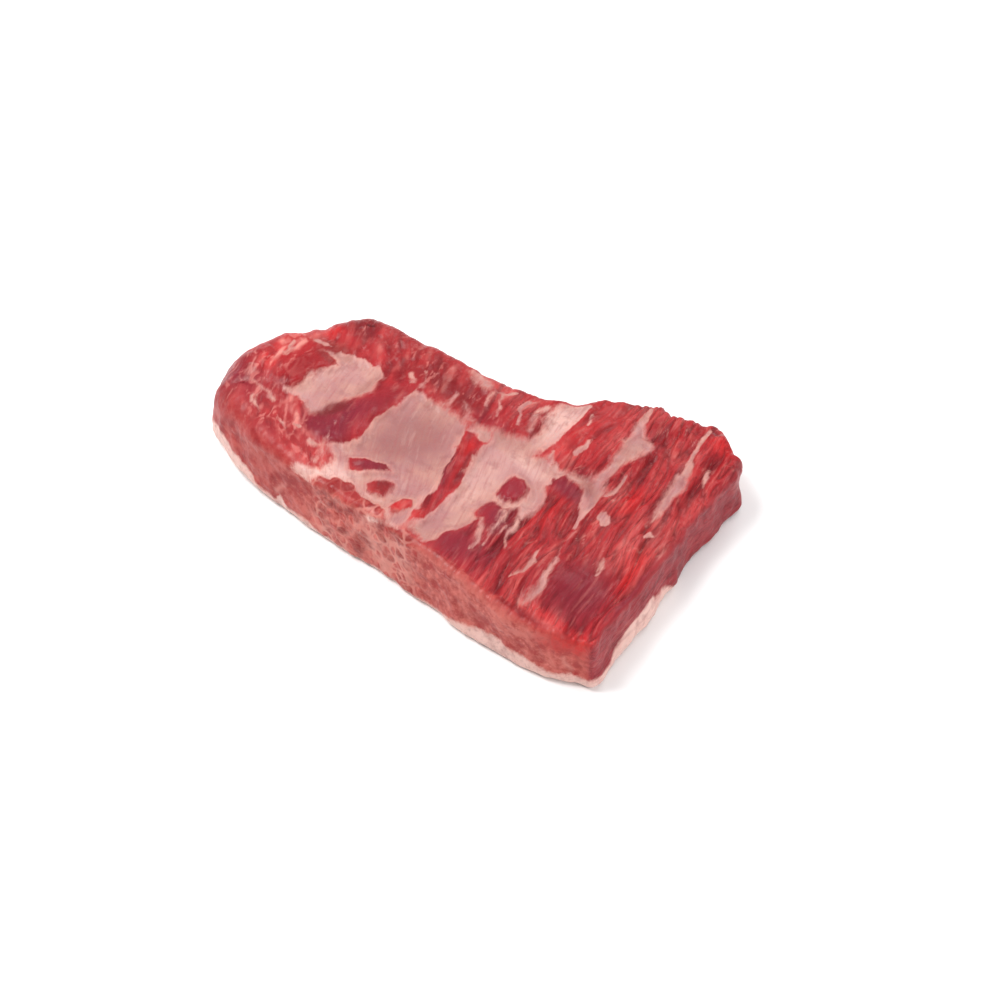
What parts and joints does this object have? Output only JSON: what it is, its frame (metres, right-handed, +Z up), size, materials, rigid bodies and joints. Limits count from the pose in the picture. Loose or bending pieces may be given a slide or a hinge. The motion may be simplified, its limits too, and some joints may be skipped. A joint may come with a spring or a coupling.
{
  "type": "raw beef brisket",
  "caption": "Thick trimmed slab of raw beef brisket lying on its fat cap, with a rounded end, a straight cut end, pale fat windows over the ribs and coarse meat strands.",
  "frame": {"origin": "centre of the slab's bounding box in plan, at the level of the flat underside that it lies on", "axes": "+X along the slab from the thick rounded end to the thin cut end, +Y across it towards the flared far side, +Z up through its thickness"},
  "size_m": [0.3986, 0.2566, 0.0652],
  "materials": {
    "raw_meat": "moist cut surface"
  },
  "bodies": {
    "root": {"brisket": "raw_meat"}
  },
  "joints": []
}
